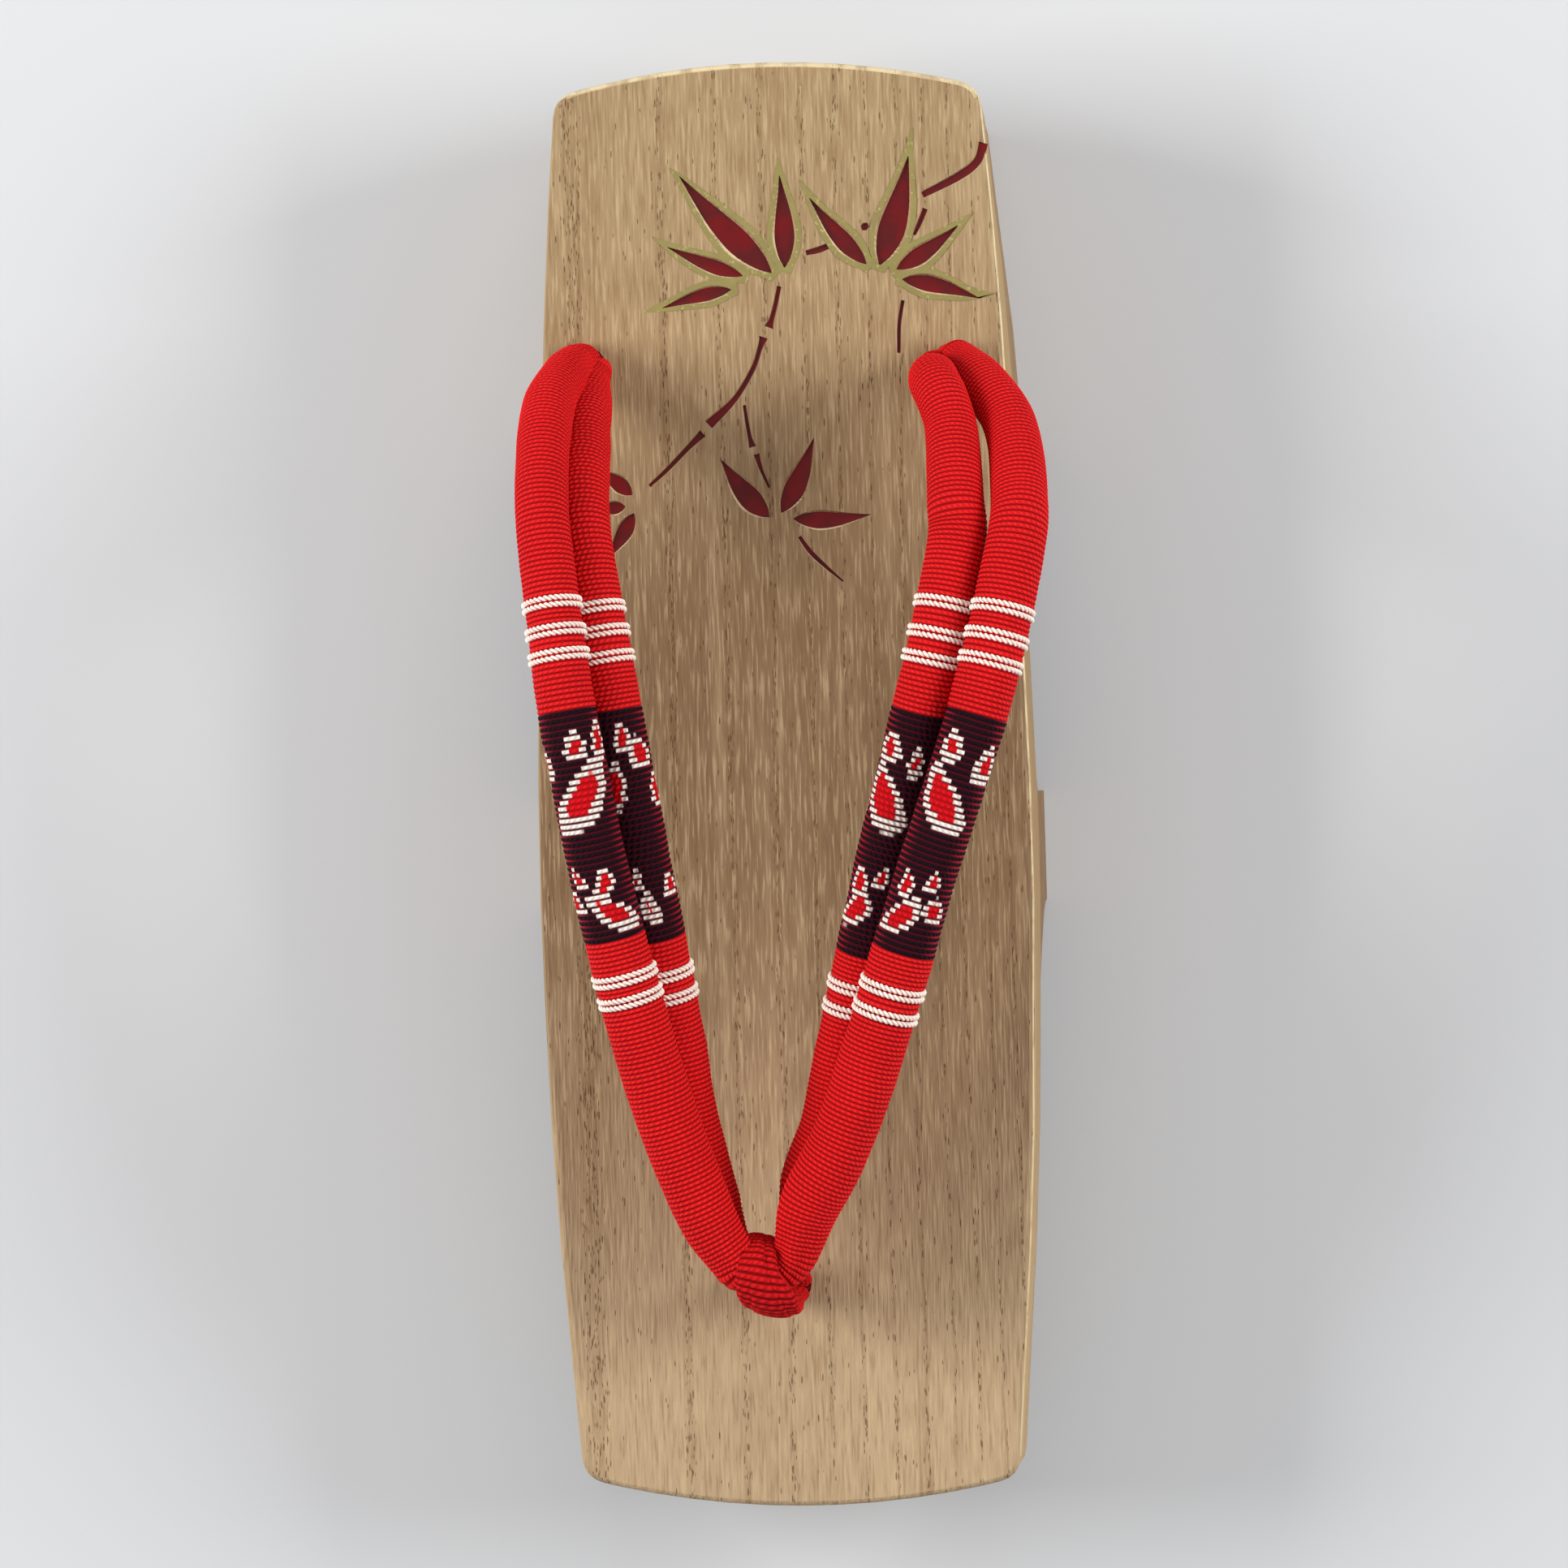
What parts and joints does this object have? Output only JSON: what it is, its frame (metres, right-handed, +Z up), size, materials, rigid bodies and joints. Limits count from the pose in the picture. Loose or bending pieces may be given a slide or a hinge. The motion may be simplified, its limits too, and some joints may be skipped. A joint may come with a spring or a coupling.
{
  "type": "geta sandal",
  "caption": "Wooden geta sandal with teeth cut from one block, padded double straps of ribbed red cloth and a toe thong",
  "frame": {"origin": "on the ground under the middle of the board", "axes": "+Z up, +Y toward the heel, -Y toward the toe, -X toward the wearer's big toe"},
  "size_m": [0.0883, 0.24, 0.0899],
  "materials": {
    "wood": "bare scorched and brushed wood",
    "strap_cloth": "ribbed woven cloth",
    "thong_cloth": "ribbed woven cloth",
    "cord": "twisted cotton cord"
  },
  "bodies": {
    "root": {"sole": "wood", "upper_straps": "strap_cloth", "toe_thong": "thong_cloth", "rear_knot_big_toe": "cord", "rear_knot_little_toe": "cord", "front_knot": "cord"}
  },
  "joints": []
}
